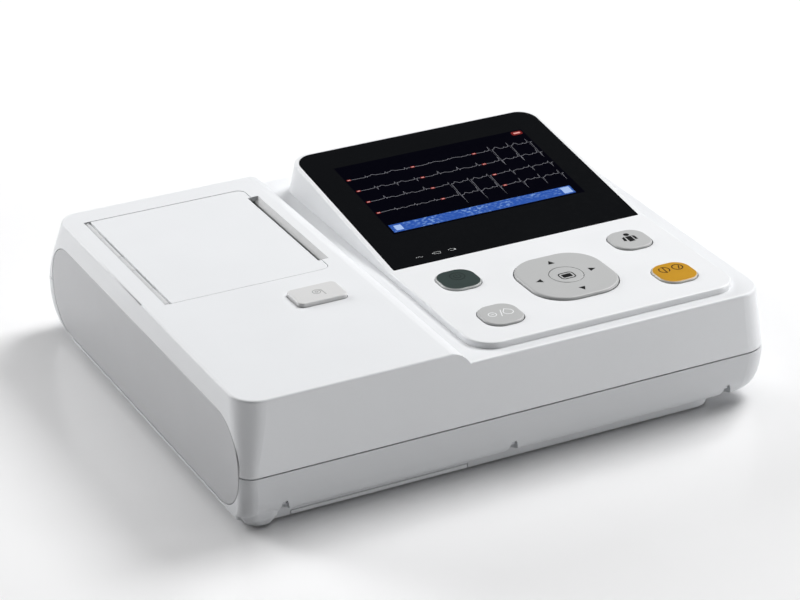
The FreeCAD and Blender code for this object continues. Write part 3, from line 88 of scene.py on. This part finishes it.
def bump(nt, height, strength, dist):
    n = nt.nodes.new("ShaderNodeBump")
    n.inputs["Strength"].default_value = strength
    n.inputs["Distance"].default_value = dist
    nt.links.new(height, n.inputs["Height"])
    return n.outputs[0]


def coords(nt):
    return nt.nodes.new("ShaderNodeTexCoord").outputs["Object"]


def finish(name, col, rough, metal=0.0, grain=1500.0, grain_depth=0.00002, strength=0.12, vary=0.03, spec=0.5, coat=0.0,
           stretch=None, glow=None):
    """One procedural surface: slow colour drift, uneven roughness and a fine grain."""
    m, nt, b = tree(name)
    co = coords(nt)
    if stretch:
        mp = nt.nodes.new("ShaderNodeMapping")
        mp.inputs["Scale"].default_value = stretch
        nt.links.new(co, mp.inputs["Vector"])
        co = mp.outputs[0]
    slow = noise(nt, co, 28.0, 2.0)
    fine = noise(nt, co, grain, 2.0)
    dark = tuple(c * (1.0 - vary) for c in col)
    light = tuple(min(1.0, c * (1.0 + vary)) for c in col)
    nt.links.new(mixrgb(nt, remap(nt, slow, 0.0, 1.0), dark, light), b.inputs["Base Color"])
    nt.links.new(remap(nt, fine, max(0.02, rough - 0.05), min(1.0, rough + 0.05)), b.inputs["Roughness"])
    nt.links.new(bump(nt, fine, strength, grain_depth), b.inputs["Normal"])
    b.inputs["Metallic"].default_value = metal
    b.inputs["Specular IOR Level"].default_value = spec
    b.inputs["Coat Weight"].default_value = coat
    if glow:
        nt.links.new(mixrgb(nt, remap(nt, slow, 0.0, 1.0), tuple(c * 0.9 for c in glow), glow), b.inputs["Emission Color"])
        b.inputs["Emission Strength"].default_value = 1.0
    return m


def two_tone(name, top, side, split, rough):
    """A printed top on a moulded key: the colour changes at a height in the piece's own frame."""
    m, nt, b = tree(name)
    co = coords(nt)
    xyz = nt.nodes.new("ShaderNodeSeparateXYZ")
    nt.links.new(co, xyz.inputs[0])
    step = remap(nt, xyz.outputs[2], 0.0, 1.0, split - 0.00012, split + 0.00012)
    slow = noise(nt, co, 60.0, 2.0)
    fine = noise(nt, co, 1800.0, 2.0)
    topc = mixrgb(nt, remap(nt, slow, 0.0, 1.0), tuple(c * 0.95 for c in top), tuple(min(1, c * 1.05) for c in top))
    nt.links.new(mixrgb(nt, step, side, topc), b.inputs["Base Color"])
    nt.links.new(remap(nt, fine, rough - 0.05, rough + 0.05), b.inputs["Roughness"])
    nt.links.new(bump(nt, fine, 0.1, 0.00002), b.inputs["Normal"])
    return m


WHITE = (0.80, 0.812, 0.83)
MATS = {
    "white_plastic": finish("white_plastic", WHITE, 0.42, vary=0.008),
    "white_door": finish("white_door", WHITE, 0.42, vary=0.008),
    "white_bezel": finish("white_bezel", (0.82, 0.83, 0.845), 0.36, vary=0.008),
    "grey_panel": finish("grey_panel", (0.50, 0.505, 0.52), 0.45, vary=0.015),
    "grey_key": finish("grey_key", (0.47, 0.475, 0.475), 0.42, vary=0.015),
    "grey_button": finish("grey_button", (0.67, 0.67, 0.67), 0.42, vary=0.015),
    "dark_key": finish("dark_key", (0.055, 0.085, 0.078), 0.38),
    "orange_key": finish("orange_key", (0.80, 0.36, 0.012), 0.38),
    "black_lens": finish("black_lens", (0.0055, 0.006, 0.007), 0.10, grain=300.0, strength=0.01, spec=0.25),
    "lcd": finish("lcd", (0.004, 0.004, 0.010), 0.15, grain=300.0, strength=0.01),
    "steel": finish("steel", (0.56, 0.57, 0.58), 0.32, metal=1.0, stretch=(1.0, 0.08, 1.0), grain=900.0),
    "zinc": finish("zinc", (0.55, 0.56, 0.58), 0.38, metal=1.0, vary=0.08),
    "nickel": finish("nickel", (0.66, 0.65, 0.62), 0.22, metal=1.0, vary=0.04),
    "brass": finish("brass", (0.70, 0.50, 0.20), 0.28, metal=1.0, vary=0.05),
    "aluminium": finish("aluminium", (0.72, 0.73, 0.74), 0.36, metal=1.0, stretch=(1.0, 0.05, 1.0), grain=1200.0),
    "black_rubber": finish("black_rubber", (0.020, 0.020, 0.021), 0.75, grain=700.0, strength=0.25),
    "platen_rubber": finish("platen_rubber", (0.035, 0.035, 0.038), 0.60, grain=900.0, strength=0.2),
    "silicone": finish("silicone", (0.42, 0.43, 0.44), 0.60),
    "circuit_board": finish("circuit_board", (0.012, 0.115, 0.045), 0.35, grain=400.0, vary=0.25),
    "black_plastic": finish("black_plastic", (0.018, 0.018, 0.020), 0.45),
    "grey_moulding": finish("grey_moulding", (0.30, 0.305, 0.31), 0.50),
    "natural_nylon": finish("natural_nylon", (0.68, 0.66, 0.58), 0.48),
    "ceramic_head": finish("ceramic_head", (0.62, 0.60, 0.54), 0.20, vary=0.06),
    "battery_wrap": finish("battery_wrap", (0.012, 0.045, 0.19), 0.22, vary=0.08),
    "grey_tear": finish("grey_tear", (0.62, 0.625, 0.63), 0.50, stretch=(1.0, 12.0, 1.0), grain=220.0, strength=0.35, grain_depth=0.0001),
    "led_lens": finish("led_lens", (0.70, 0.72, 0.66), 0.15),
}
for sub in frame["record"]["subparts"]:
    ob = NODES[sub["node"]]
    ob.data.materials.clear()
    ob.data.materials.append(MATS[sub["material_slot"]])


def local_z(node, z_mm):
    return (NODES[node].matrix_world.inverted() @ Vector((0, 0, z_mm * MM))).z


NODES["power_key"].data.materials[0] = two_tone("power_key_top", (0.030, 0.047, 0.044), (0.58, 0.59, 0.59), local_z("power_key", 62.36), 0.38)
NODES["start_key"].data.materials[0] = two_tone("start_key_top", (0.53, 0.265, 0.004), (0.62, 0.60, 0.55), local_z("start_key", 62.36), 0.38)
# Lower case: the upper case's white plastic made darker, as painted shade for the shade that falls on the lower half.
NODES["lower_case"].data.materials[0] = finish("white_lower_painted_shade", (0.67, 0.682, 0.70), 0.42, vary=0.008)
for piece in ("hinge_strip", "door_knuckles"):
    NODES[piece].data.materials[0] = finish(piece + "_grey", (0.64, 0.645, 0.655), 0.5, vary=0.015)


# ------------------------------------------------------------------ thin printed shapes
class Sheet:
    """Collects thin solid shapes drawn in a plane (millimetres) and makes one piece of them."""

    def __init__(self, name, origin, tilt, lift, thick):
        self.name = name
        self.bm = bmesh.new()
        self.mat = Matrix.Translation(Vector(origin) * MM) @ Matrix.Rotation(math.radians(tilt), 4, "X")
        self.lo = (lift - 0.03) * MM
        self.hi = (lift + thick) * MM

    def poly(self, pts):
        pts = [(u * MM, v * MM) for u, v in pts]
        area = sum(pts[i][0] * pts[(i + 1) % len(pts)][1] - pts[(i + 1) % len(pts)][0] * pts[i][1] for i in range(len(pts)))
        if area < 0:
            pts.reverse()
        top = [self.bm.verts.new((u, v, self.hi)) for u, v in pts]
        bot = [self.bm.verts.new((u, v, self.lo)) for u, v in pts]
        n = len(pts)
        self.bm.faces.new(top)
        self.bm.faces.new(bot[::-1])
        for i in range(n):
            j = (i + 1) % n
            self.bm.faces.new((bot[i], bot[j], top[j], top[i]))

    def rect(self, x0, x1, y0, y1, r=0.0):
        if r <= 0:
            return self.poly([(x0, y0), (x1, y0), (x1, y1), (x0, y1)])
        pts = []
        for cx, cy, a in ((x1 - r, y0 + r, -90), (x1 - r, y1 - r, 0), (x0 + r, y1 - r, 90), (x0 + r, y0 + r, 180)):
            for k in range(7):
                t = math.radians(a + 15 * k)
                pts.append((cx + r * math.cos(t), cy + r * math.sin(t)))
        self.poly(pts)

    def disc(self, cx, cy, r, n=28):
        self.poly([(cx + r * math.cos(2 * math.pi * k / n), cy + r * math.sin(2 * math.pi * k / n)) for k in range(n)])

    def line(self, pts, w, closed=False):
        """A ribbon of one width along a run of points, mitred at the bends."""
        p = [Vector((u, v)) for u, v in pts]
        n = len(p)
        left, right = [], []
        for i in range(n):
            a = p[i - 1] if (i > 0 or closed) else None
            c = p[(i + 1) % n] if (i < n - 1 or closed) else None
            d0 = (p[i] - a).normalized() if a is not None else None
            d1 = (c - p[i]).normalized() if c is not None else None
            d0 = d1 if d0 is None else d0
            d1 = d0 if d1 is None else d1
            t = d0 + d1
            t = t.normalized() if t.length > 1e-6 else d0
            nrm = Vector((-t.y, t.x))
            k = max(0.35, abs(nrm.dot(Vector((-d0.y, d0.x)))))
            off = nrm * (w / 2.0 / k)
            left.append(p[i] + off)
            right.append(p[i] - off)
        tops, bots = [], []
        for a, b in zip(left, right):
            tops.append([self.bm.verts.new((q.x * MM, q.y * MM, self.hi)) for q in (a, b)])
            bots.append([self.bm.verts.new((q.x * MM, q.y * MM, self.lo)) for q in (a, b)])
        last = n if closed else n - 1
        for i in range(last):
            j = (i + 1) % n
            self.bm.faces.new((tops[i][1], tops[j][1], tops[j][0], tops[i][0]))
            self.bm.faces.new((bots[i][0], bots[j][0], bots[j][1], bots[i][1]))
            self.bm.faces.new((tops[i][0], tops[j][0], bots[j][0], bots[i][0]))
            self.bm.faces.new((bots[i][1], bots[j][1], tops[j][1], tops[i][1]))
        if not closed:
            self.bm.faces.new((tops[0][1], tops[0][0], bots[0][0], bots[0][1]))
            self.bm.faces.new((tops[-1][0], tops[-1][1], bots[-1][1], bots[-1][0]))

    def ring(self, cx, cy, r, w, a0=0.0, a1=360.0, n=36):
        full = abs(a1 - a0) >= 359.9
        k = n if full else n + 1
        pts = [(cx + r * math.cos(math.radians(a0 + (a1 - a0) * i / n)), cy + r * math.sin(math.radians(a0 + (a1 - a0) * i / n))) for i in range(k)]
        self.line(pts, w, full)

    def make(self, material, body):
        me = bpy.data.meshes.new(self.name)
        bmesh.ops.recalc_face_normals(self.bm, faces=self.bm.faces[:])
        self.bm.to_mesh(me)
        self.bm.free()
        ob = bpy.data.objects.new(self.name, me)
        bpy.context.scene.collection.objects.link(ob)
        ob.matrix_world = self.mat
        me.materials.append(material)
        bpy.context.view_layer.update()
        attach(ob, body)
        return ob


INK = finish("ink_dark", (0.004, 0.004, 0.0045), 0.5, vary=0.1, spec=0.15)
INK_WHITE = finish("ink_white", (0.86, 0.87, 0.88), 0.45, vary=0.02)
INK_GREEN = finish("ink_green", (0.010, 0.018, 0.017), 0.42, vary=0.05)
INK_BROWN = finish("ink_brown", (0.060, 0.022, 0.003), 0.5, vary=0.1, spec=0.2)
INK_GREY = finish("ink_grey", (0.34, 0.345, 0.345), 0.5, vary=0.05)
LAMP = finish("ink_lamp", (0.40, 0.41, 0.41), 0.45, vary=0.02)

TOP = (0.0, 0.0, 62.5)
# directional key: four triangles
s = Sheet("nav_pad_symbols", (0.0, 0.0, 62.8), 0, 0.0, 0.03)
for cx, cy, a in ((52.9, -50.7, 90), (38.7, -65.3, 180), (66.9, -65.1, 0), (53.2, -80.4, 270)):
    c, q = math.cos(math.radians(a)), math.sin(math.radians(a))
    s.poly([(cx + u * c - v * q, cy + u * q + v * c) for u, v in ((2.1, 0.0), (-1.2, 1.75), (-1.2, -1.75))])
s.make(INK, "nav")
# its centre: a rounded outline with a filled block
s = Sheet("ok_key_symbol", (0.0, 0.0, 62.95), 0, 0.0, 0.03)
ocx, ocy = 52.9, -66.1
pts = []
for cx, cy, a in ((ocx + 2.0, ocy - 1.2, -90), (ocx + 2.0, ocy + 1.2, 0), (ocx - 2.0, ocy + 1.2, 90), (ocx - 2.0, ocy - 1.2, 180)):
    for k in range(7):
        t = math.radians(a + 15 * k)
        pts.append((cx + 1.7 * math.cos(t), cy + 1.7 * math.sin(t)))
s.line(pts, 0.6, True)
s.rect(ocx - 2.5, ocx + 2.5, ocy - 1.65, ocy + 1.65, 0.5)
s.make(INK, "ok")
# power key: two faint rings and a bar
s = Sheet("power_key_symbol", TOP, 0, 0.0, 0.03)
s.ring(7.3, -42.2, 3.6, 0.55)
s.ring(7.3, -42.2, 1.75, 0.5, -235, 55)
s.line([(7.3, -42.0), (7.3, -39.8)], 0.5)
s.make(INK_GREEN, "power")
# mode key: loop, slash and drop
s = Sheet("mode_key_symbol", TOP, 0, 0.0, 0.03)
s.ring(2.5, -84.6, 1.9, 0.42)
s.line([(1.6, -84.6), (3.4, -84.6)], 0.4)
s.line([(5.9, -87.9), (8.0, -81.9)], 0.42)
s.line([(10.1, -81.7), (12.6, -83.6), (13.0, -85.2), (12.4, -86.7), (10.8, -87.5), (9.0, -86.9), (8.1, -85.6), (8.3, -84.2)], 0.42, True)
s.make(INK_WHITE, "mode")
# patient key: a standing figure
s = Sheet("patient_key_symbol", TOP, 0, 0.0, 0.03)
s.disc(101.3, -40.1, 1.45)
s.poly([(99.4, -42.1), (102.5, -42.1), (102.2, -47.6), (99.1, -47.6)])
s.poly([(98.9, -42.0), (97.5, -42.5), (96.8, -46.0), (98.3, -46.3)])
s.poly([(103.0, -42.0), (104.3, -42.7), (104.3, -46.4), (102.9, -46.4)])
s.make(INK, "patient")
# start key: a struck-through ring and a ring with a bar
s = Sheet("start_key_symbol", TOP, 0, 0.0, 0.03)
s.ring(97.0, -81.5, 2.6, 0.6, -60, 100)
s.ring(97.0, -81.5, 2.6, 0.6, 120, 280)
s.line([(97.3, -79.4), (96.8, -84.7)], 0.6)
s.ring(104.2, -81.5, 2.6, 0.6)
s.line([(105.5, -80.3), (104.1, -83.3)], 0.6)
s.make(INK_BROWN, "start")
# door release: roll and sheet
s = Sheet("release_symbol", (0.0, 0.0, 67.0), 0, 0.0, 0.03)
s.ring(-62.4, -34.5, 1.9, 0.40)
s.ring(-62.4, -34.5, 0.7, 0.38)
s.line([(-62.2, -32.6), (-59.7, -33.4), (-59.3, -38.4)], 0.40)
s.make(INK_GREY, "release")

# display window: three indicator symbols
TILT, AT = 7.707, (0.0, -21.6, 61.5)
s = Sheet("indicator_symbols", AT, TILT, 0.05, 0.03)
s.disc(-0.3, 5.95, 0.28)
s.line([(0.5 + 0.21 * k, 5.9 + 0.4 * math.sin(k * 2 * math.pi / 12)) for k in range(13)], 0.24)
s.disc(8.65, 6.4, 0.34)
s.line([(9.3, 5.7), (12.5, 5.4), (12.9, 6.9), (9.7, 7.2)], 0.24, True)
s.disc(17.3, 6.5, 0.30)
s.line([(17.9, 7.1), (19.7, 6.9)], 0.24)
s.line([(17.8, 5.6), (19.4, 5.3)], 0.24)
s.disc(20.4, 6.0, 0.62)
s.make(LAMP, "case")

# ------------------------------------------------------------------ the lit screen
def screen(name, col, base=(0.001, 0.001, 0.002)):
    return finish(name, base, 0.14, grain=300.0, strength=0.01, spec=0.06, glow=col)


def bar_material():
    """Blue soft-key bar: small pale blocks over blue, paler at both ends."""
    m, nt, b = tree("screen_bar")
    co = coords(nt)
    mp = nt.nodes.new("ShaderNodeMapping")
    mp.inputs["Scale"].default_value = (1.0, 1.6, 0.0)
    nt.links.new(co, mp.inputs["Vector"])
    patches = remap(nt, noise(nt, mp.outputs[0], 520.0, 1.0), 0.0, 1.0, 0.48, 0.66)
    wide = remap(nt, noise(nt, mp.outputs[0], 75.0, 1.0), 0.15, 1.0, 0.40, 0.62)
    mul = nt.nodes.new("ShaderNodeMath")
    mul.operation = "MULTIPLY"
    nt.links.new(patches, mul.inputs[0])
    nt.links.new(wide, mul.inputs[1])
    col = mixrgb(nt, mul.outputs[0], (0.022, 0.088, 0.40), (0.20, 0.35, 0.68))
    b.inputs["Base Color"].default_value = (0.004, 0.004, 0.008, 1.0)
    b.inputs["Roughness"].default_value = 0.14
    nt.links.new(col, b.inputs["Emission Color"])
    b.inputs["Emission Strength"].default_value = 1.0
    return m


s = Sheet("lcd_picture", AT, TILT, 0.05, 0.02)
s.rect(-0.9, 106.1, 28.4, 93.9)
s.make(screen("screen_dark", (0.0006, 0.0006, 0.0022)), "case")
s = Sheet("lcd_bar", AT, TILT, 0.05, 0.04)
s.rect(0.2, 101.6, 29.7, 36.6)
s.make(bar_material(), "case")
s = Sheet("lcd_bar_ends", AT, TILT, 0.05, 0.05)
s.rect(2.2, 6.2, 31.0, 35.4, 0.4)
s.rect(95.8, 100.6, 30.6, 36.0)
s.make(screen("screen_pale", (0.40, 0.56, 0.92)), "case")

ROWS = (81.0, 70.2, 59.4, 48.6)
COLS = ((1.4, 35.4), (37.0, 70.2), (72.0, 105.4))


def beat(x, s0, p, r, q, t):
    """One heartbeat: small P, sharp R and S, rounded T."""
    pts = [(x - 4.2, s0), (x - 3.5, s0 + p), (x - 2.7, s0), (x - 1.0, s0), (x - 0.45, s0 + r), (x + 0.15, s0 - q), (x + 0.6, s0)]
    pts += [(x + 1.8, s0 + 0.1), (x + 3.0, s0 + t), (x + 3.9, s0 + t * 0.8), (x + 4.8, s0)]
    return pts


SHAPES = {  # row, column: P, R, S, T heights
    (0, 0): (0.3, 1.2, 0.6, 0.5), (0, 1): (0.15, 0.5, 0.2, 0.3), (0, 2): (0.7, 3.6, 15.5, 1.8),
    (1, 0): (0.4, 1.4, 2.4, 0.6), (1, 1): (0.3, 2.2, 0.8, 0.5), (1, 2): (0.6, 3.2, 4.4, 1.3),
    (2, 0): (0.3, 2.4, 0.7, 0.5), (2, 1): (0.5, 1.6, 19.0, 1.6), (2, 2): (0.5, 1.4, 3.6, 0.9),
    (3, 0): (0.3, 1.0, 0.8, 0.6), (3, 1): (0.6, 4.0, 2.6, 1.5), (3, 2): (0.6, 3.4, 5.8, 1.4),
}
s = Sheet("lcd_traces", AT, TILT, 0.05, 0.045)
for i, s0 in enumerate(ROWS):
    for j, (xa, xb) in enumerate(COLS):
        p, r, q, t = SHAPES[(i, j)]
        run = [(xa, s0)]
        for k in range(3):
            x = xa + 9.6 + 11.0 * k
            for u, v in beat(x, s0, p, r, q, t):
                if run[-1][0] + 0.05 < u < xb - 0.1:
                    drift = 0.35 * math.sin(u * 0.55 + i) + 0.15 * math.sin(u * 2.3 + 2 * j)
                    run.append((u, v + drift))
        run.append((xb, s0))
        s.line(run, 0.22)
s.make(screen("screen_trace", (0.24, 0.24, 0.27)), "case")
s = Sheet("lcd_marks_red", AT, TILT, 0.05, 0.05)
for s0 in ROWS:
    for xa, xb in COLS:
        s.rect(xa - 1.5, xa + 0.9, s0 - 0.7, s0 + 0.7, 0.4)
s.rect(99.2, 105.2, 89.6, 92.9, 1.0)
s.make(screen("screen_red", (0.20, 0.018, 0.016)), "case")
s = Sheet("lcd_marks_pale", AT, TILT, 0.05, 0.06)
for s0 in ROWS:
    for xa, xb in COLS:
        s.rect(xa - 1.0, xa + 0.5, s0 - 0.3, s0 + 0.3, 0.2)
s.rect(100.4, 104.2, 90.7, 91.9, 0.3)
s.make(screen("screen_pink", (0.85, 0.38, 0.35)), "case")

# ------------------------------------------------------------------ stage
me = bpy.data.meshes.new("floor")
me.from_pydata([(-5, -5, 0), (5, -5, 0), (5, 5, 0), (-5, 5, 0)], [], [(0, 1, 2, 3)])
floor = bpy.data.objects.new("floor", me)
bpy.context.scene.collection.objects.link(floor)
me.materials.append(finish("floor_pale", (0.93, 0.93, 0.935), 0.22, grain=200.0, strength=0.0, vary=0.003, spec=0.4))


def area(name, at, to, size, watts, color=(1, 1, 1)):
    li = bpy.data.lights.new(name, "AREA")
    li.shape = "RECTANGLE"
    li.size, li.size_y = size
    li.energy = watts
    li.color = color
    ob = bpy.data.objects.new(name, li)
    bpy.context.scene.collection.objects.link(ob)
    ob.location = at
    ob.rotation_mode = "QUATERNION"
    ob.rotation_quaternion = (Vector(to) - Vector(at)).to_track_quat("-Z", "Y")
    return ob


area("key_light", (1.25, 0.35, 1.6), (0.0, 0.0, 0.0), (0.9, 0.9), 35.0)
area("back_light", (-0.9, 1.5, 0.9), (0.0, 0.0, 0.0), (0.7, 0.7), 14.0)
area("top_light", (0.1, 0.0, 1.9), (0.0, 0.0, 0.0), (1.6, 1.4), 11.3)
area("left_light", (-1.25, 1.45, 0.55), (0.0, 0.0, 0.05), (0.6, 0.6), 9.5)
area("left_low_light", (-1.35, 1.4, 0.2), (0.0, 0.0, 0.05), (0.5, 0.3), 2.5)
area("front_light", (2.2, -1.3, 0.18), (0.0, 0.0, 0.04), (0.8, 0.3), 26.5)

world = bpy.data.worlds.new("studio")
world.use_nodes = True
bg = world.node_tree.nodes["Background"]
bg.inputs[0].default_value = (1.0, 1.0, 1.0, 1.0)
bg.inputs[1].default_value = 0.01
scene = bpy.context.scene
scene.world = world
scene.view_settings.view_transform = "Standard"
scene.view_settings.look = "None"

cam_data = bpy.data.cameras.new("camera")
cam_data.lens = 130.624
cam_data.sensor_width = 36.0
cam_data.sensor_fit = "HORIZONTAL"
cam_data.clip_start, cam_data.clip_end = 0.05, 50.0
cam = bpy.data.objects.new("camera", cam_data)
scene.collection.objects.link(cam)
rt, dn, fw = (0.886550, -0.462633, 0.000575), (-0.207830, -0.399378, -0.892919), (0.413323, 0.791498, -0.450217)
at = (-0.58199, -1.11264, 0.66589)
cam.matrix_world = Matrix([[rt[i], -dn[i], -fw[i], at[i]] for i in range(3)] + [[0, 0, 0, 1]])
scene.camera = cam
